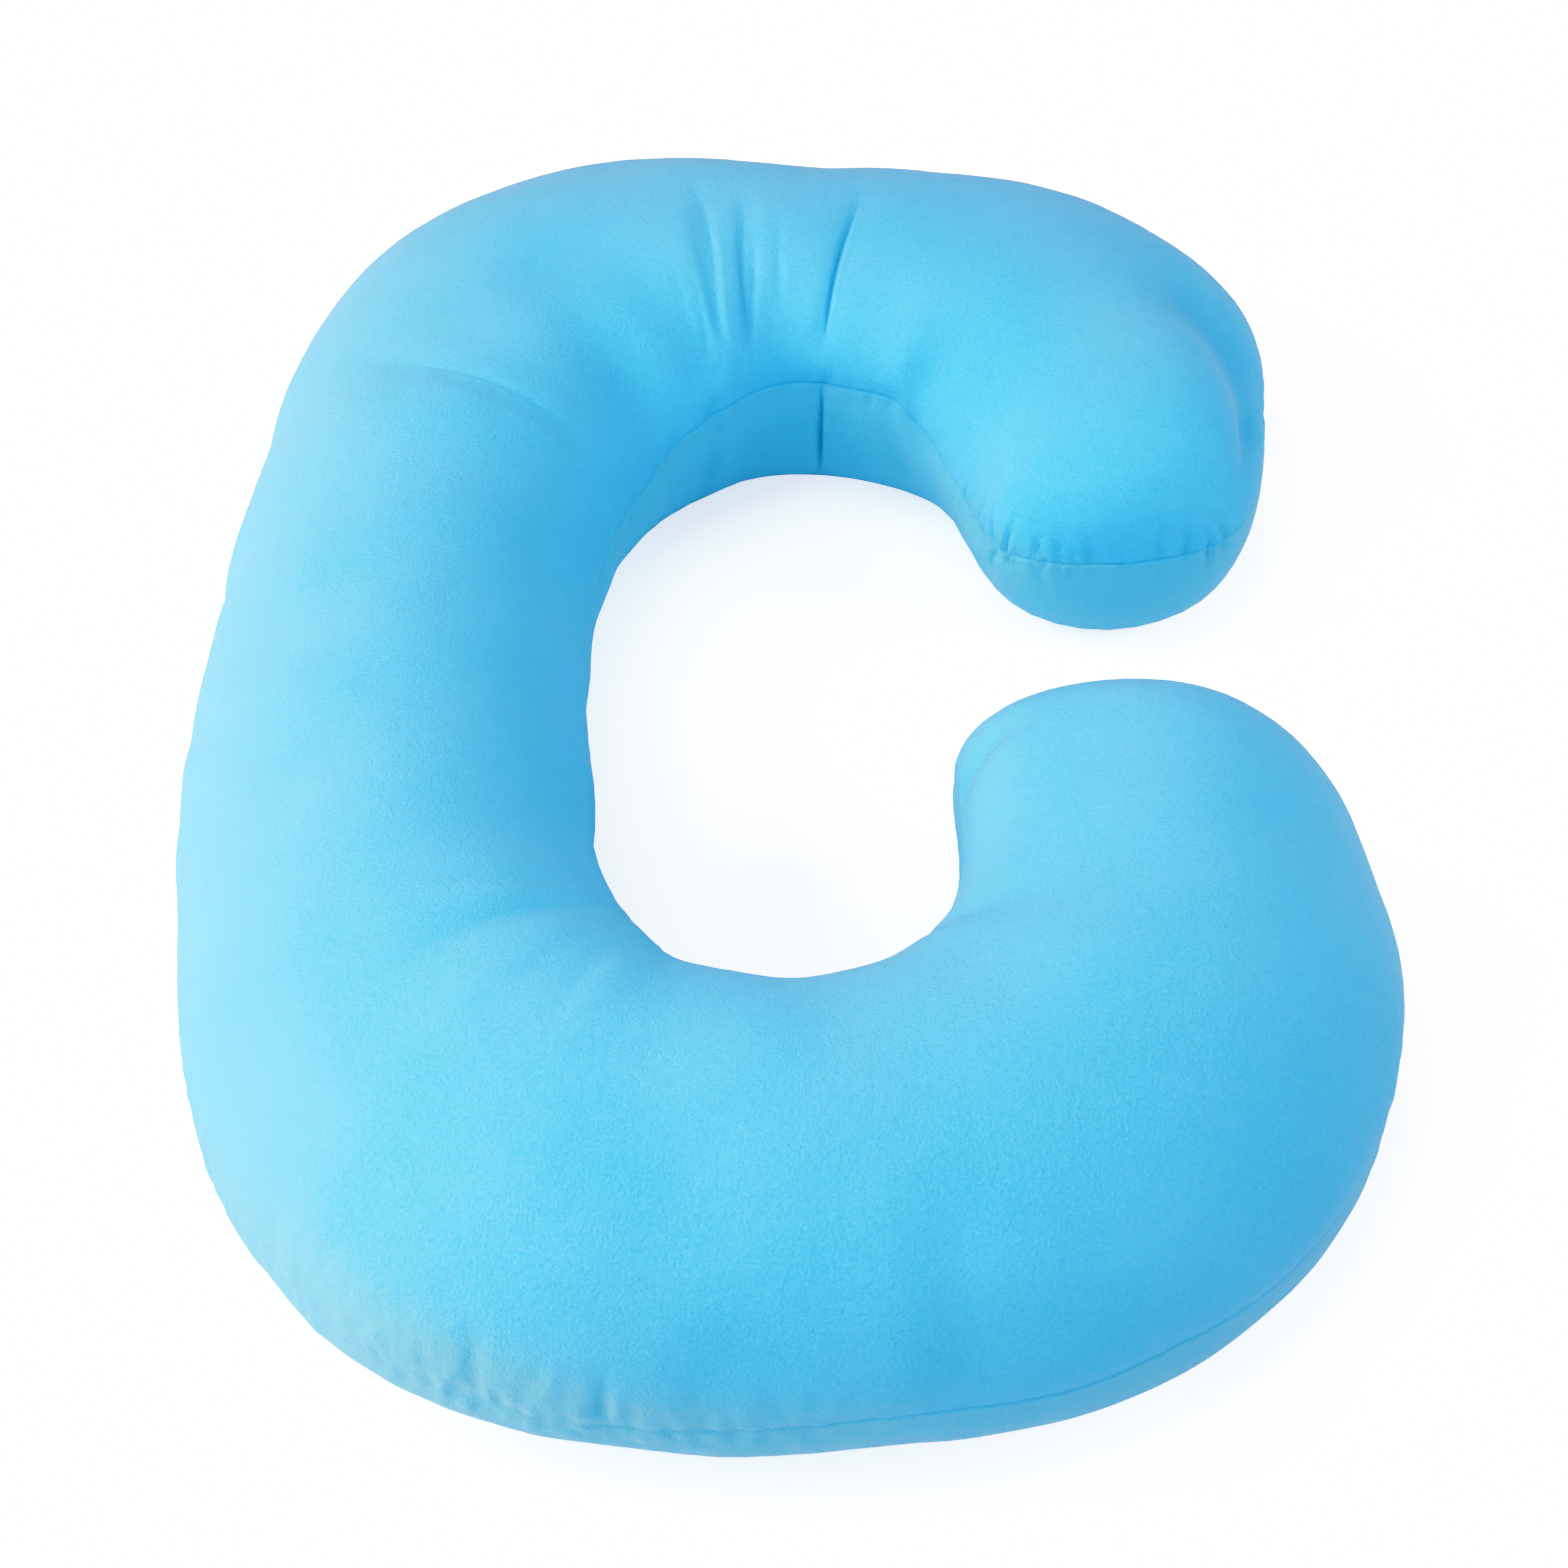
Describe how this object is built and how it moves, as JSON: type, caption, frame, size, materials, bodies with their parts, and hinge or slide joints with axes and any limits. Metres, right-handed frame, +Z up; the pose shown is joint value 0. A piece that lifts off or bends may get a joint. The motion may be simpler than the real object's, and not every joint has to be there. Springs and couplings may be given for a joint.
{
  "type": "pregnancy pillow",
  "caption": "C-shaped filled body pillow in short-pile knit, with rounded ends facing each other across a narrow mouth.",
  "frame": {"origin": "on the surface the pillow rests on, below the middle of its bounding box", "axes": "+Z up through the pillow's thickness; +Y along its longest side, from the near arm to the far arm; +X towards the mouth of the C"},
  "size_m": [0.8502, 1.241, 0.2469],
  "materials": {
    "velour": "short brushed pile, sky blue"
  },
  "bodies": {
    "root": {"pillow": "velour"}
  },
  "joints": []
}
